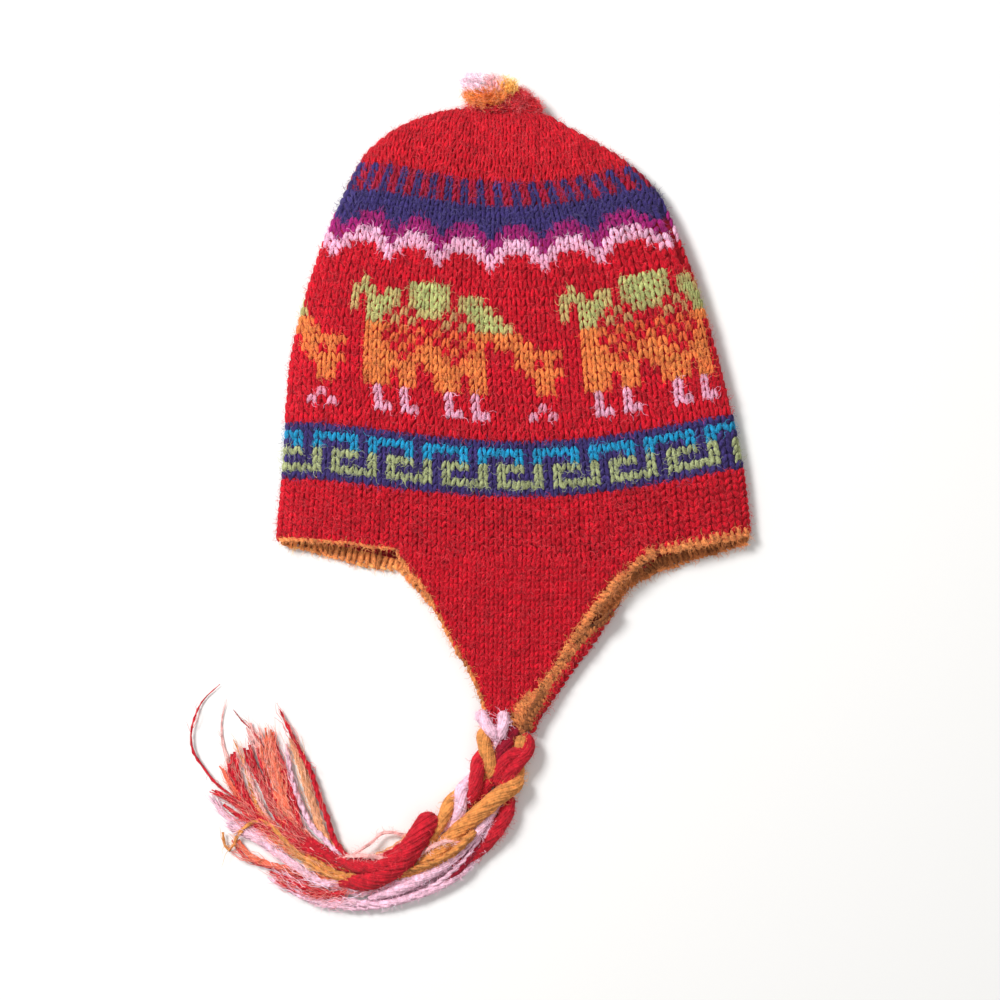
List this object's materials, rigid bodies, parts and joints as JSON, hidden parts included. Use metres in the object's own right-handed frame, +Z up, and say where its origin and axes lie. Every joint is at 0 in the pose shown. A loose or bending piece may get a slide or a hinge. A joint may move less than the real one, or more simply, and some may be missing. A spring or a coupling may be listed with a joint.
{
  "type": "knitted ear-flap beanie",
  "caption": "Knitted ear-flap beanie lying flat on its side, with an open rim, a crocheted edging, a small crown pompom and braided ties that end in loose tassels.",
  "frame": {"origin": "on the underside of the lower layer, near the middle of the cap as it lies", "axes": "+Z up from the surface that the hat lies on, +Y from the rim towards the crown, +X towards the folded edge on the right as the hat is seen from above with the crown up"},
  "size_m": [0.2896, 0.4494, 0.0205],
  "materials": {
    "red_knit": "matte fuzzy wool knit",
    "orange_crochet": "matte crocheted wool",
    "pompom_yarn": "matte brushed wool",
    "braid_yarn": "matte plied wool",
    "tassel_yarn": "matte loose wool strands"
  },
  "bodies": {
    "root": {"knit_body": "red_knit", "ear_flap_near": "red_knit", "ear_flap_far": "red_knit", "edging": "orange_crochet", "pompom": "pompom_yarn", "braid_near": "braid_yarn", "braid_far": "braid_yarn", "tassel_near": "tassel_yarn", "tassel_far": "tassel_yarn"}
  },
  "joints": []
}
